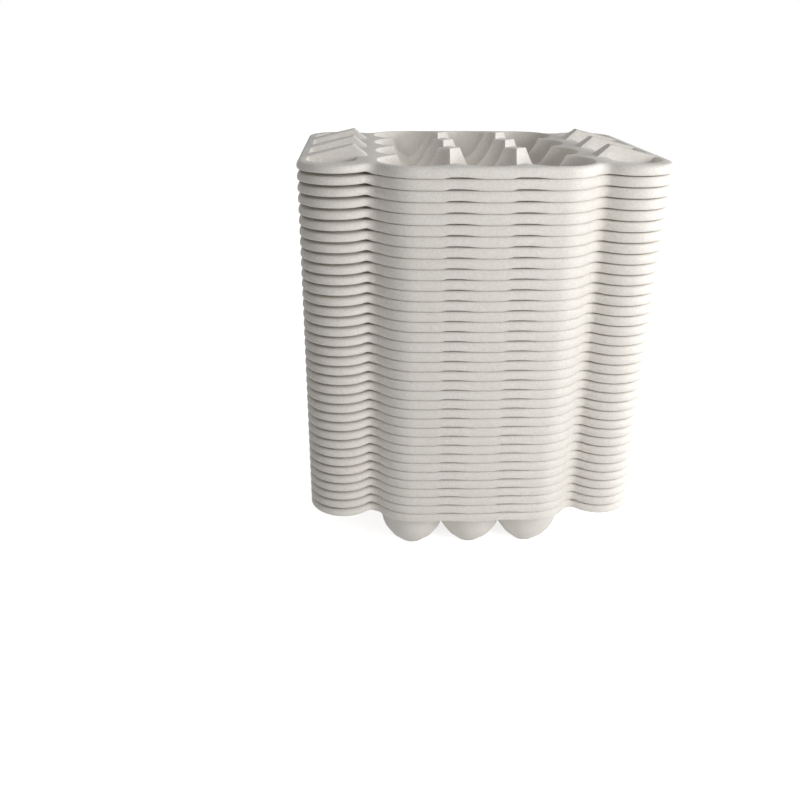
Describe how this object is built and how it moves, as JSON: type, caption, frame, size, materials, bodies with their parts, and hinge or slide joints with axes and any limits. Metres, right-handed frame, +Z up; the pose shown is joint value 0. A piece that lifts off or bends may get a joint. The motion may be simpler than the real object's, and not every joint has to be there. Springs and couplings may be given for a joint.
{
  "type": "stack of foam egg trays",
  "caption": "Tall stack of nested white foam egg trays, each with rows of cups, posts between them and a ridged wing along both sides.",
  "frame": {"origin": "centre of the stack's plan, on the surface that the lowest cups stand on", "axes": "+X across the wings to the right, +Y from the pictured front to the back, +Z up"},
  "size_m": [0.2546, 0.2106, 0.3069],
  "materials": {
    "foam": "matt"
  },
  "bodies": {
    "root": {"tray_01": "foam", "tray_02": "foam", "tray_03": "foam", "tray_04": "foam", "tray_05": "foam", "tray_06": "foam", "tray_07": "foam", "tray_08": "foam", "tray_09": "foam", "tray_10": "foam", "tray_11": "foam", "tray_12": "foam", "tray_13": "foam", "tray_14": "foam", "tray_15": "foam", "tray_16": "foam", "tray_17": "foam", "tray_18": "foam", "tray_19": "foam", "tray_20": "foam", "tray_21": "foam", "tray_22": "foam", "tray_23": "foam", "tray_24": "foam", "tray_25": "foam", "tray_26": "foam", "tray_27": "foam", "tray_28": "foam", "tray_29": "foam", "tray_30": "foam", "tray_31": "foam", "tray_32": "foam", "tray_33": "foam", "tray_34": "foam", "tray_35": "foam", "tray_36": "foam"}
  },
  "joints": []
}
